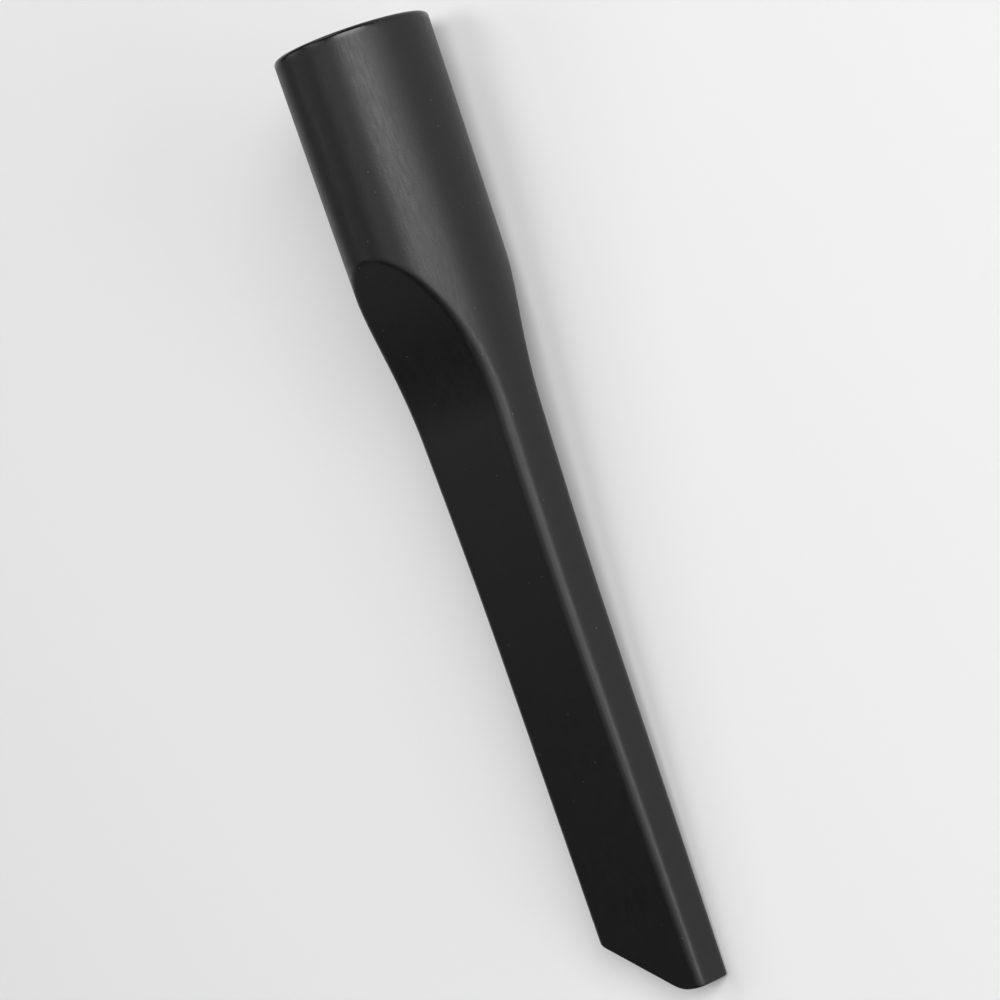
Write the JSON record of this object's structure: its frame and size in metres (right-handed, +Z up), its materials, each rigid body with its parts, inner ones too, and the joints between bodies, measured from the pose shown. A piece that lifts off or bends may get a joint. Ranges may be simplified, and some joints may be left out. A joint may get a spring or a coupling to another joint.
{
  "type": "vacuum crevice tool",
  "caption": "Slim hollow vacuum nozzle: a round socket, a neck scooped on both faces and a flat blade open at a slanted tip, for cleaning narrow gaps.",
  "frame": {"origin": "centre of the socket's mouth", "axes": "+X from the socket towards the tip, +Y towards the long side of the slanted tip, +Z up, with the tool lying as it comes to rest on the crest under its socket and the lower edge of its tip"},
  "size_m": [0.2231, 0.036, 0.0391],
  "materials": {
    "black_plastic": "satin moulded black"
  },
  "bodies": {
    "root": {"crevice_tool": "black_plastic"}
  },
  "joints": []
}
